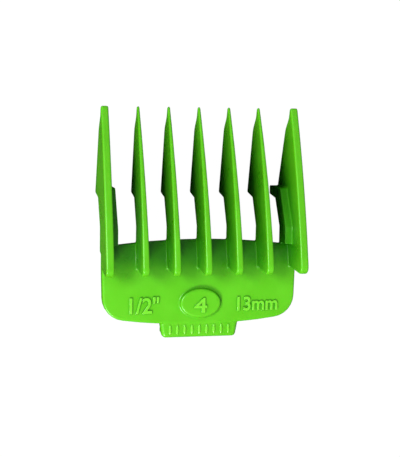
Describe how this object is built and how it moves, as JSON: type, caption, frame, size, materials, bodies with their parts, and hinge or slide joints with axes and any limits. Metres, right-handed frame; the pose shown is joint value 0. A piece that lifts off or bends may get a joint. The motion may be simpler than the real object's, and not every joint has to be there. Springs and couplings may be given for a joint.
{
  "type": "clipper guard comb",
  "caption": "Comb guard for a hair clipper: a plate with long curved teeth whose hooks hold the blade, a thumb tab at the rear, and magnets in the blade side.",
  "frame": {"origin": "centre of the bounding box's base", "axes": "+Y from the thumb tab to the tooth tips, +Z from the blade side to the skin side, X across the teeth"},
  "size_m": [0.0482, 0.0554, 0.0222],
  "materials": {
    "green_plastic": "satin moulded",
    "nickel_plate": "plated",
    "zinc_steel": "zinc plated"
  },
  "bodies": {
    "root": {"comb_body": "green_plastic", "magnet_retainer": "green_plastic", "magnet_left": "nickel_plate", "magnet_right": "nickel_plate", "keeper_plate": "zinc_steel"}
  },
  "joints": []
}
